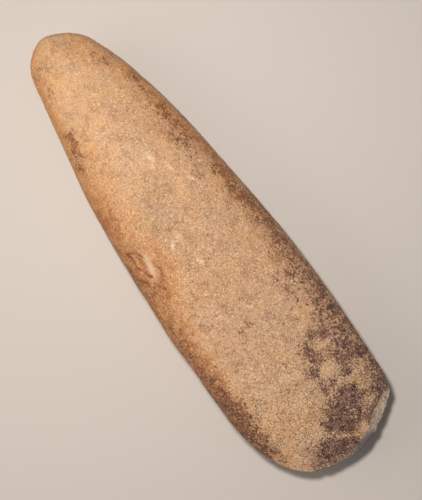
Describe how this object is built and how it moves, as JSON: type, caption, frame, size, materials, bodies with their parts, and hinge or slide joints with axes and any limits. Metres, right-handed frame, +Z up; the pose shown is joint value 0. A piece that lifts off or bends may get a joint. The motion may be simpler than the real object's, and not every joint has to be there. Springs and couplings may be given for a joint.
{
  "type": "polished stone axe head",
  "caption": "Ground and polished stone axe head with a narrow round butt, an oval body and a curved cutting edge, for hafting in a wooden handle.",
  "frame": {"origin": "on the table, below the middle of the stone as it lies on its belly", "axes": "+X along the length from the butt to the cutting edge, +Z up through the thickness, +Y across the breadth"},
  "size_m": [0.2098, 0.0634, 0.0379],
  "materials": {
    "stone": "matt weathered polish, tan with dark brown and rust stains"
  },
  "bodies": {
    "root": {"axe_head": "stone"}
  },
  "joints": []
}
